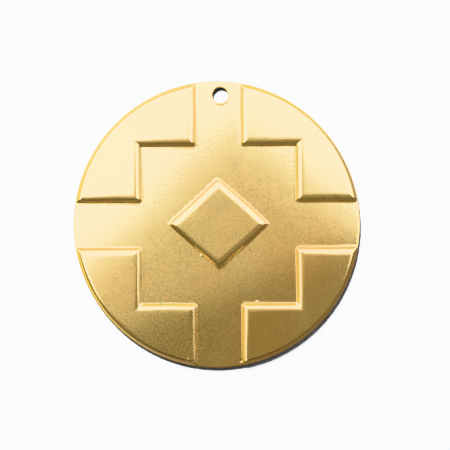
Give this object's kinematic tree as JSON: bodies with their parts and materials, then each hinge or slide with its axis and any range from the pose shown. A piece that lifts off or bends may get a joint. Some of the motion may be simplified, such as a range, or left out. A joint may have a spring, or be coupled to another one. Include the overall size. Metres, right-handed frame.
{
  "type": "stamped disc token",
  "caption": "Thin round sheet-brass disc struck with a recessed stepped cross and a raised diamond, with a small hanging hole at the rim.",
  "frame": {"origin": "under the centre of the round blank, on the surface that the disc lies on", "axes": "+Z out of the struck face, +Y from the centre towards the hanging hole, +X to the right of the struck face"},
  "size_m": [0.0318, 0.0318, 0.001],
  "materials": {
    "raw_brass": "satin, unlacquered, lightly tarnished"
  },
  "bodies": {
    "root": {"stamped_disc": "raw_brass"}
  },
  "joints": []
}
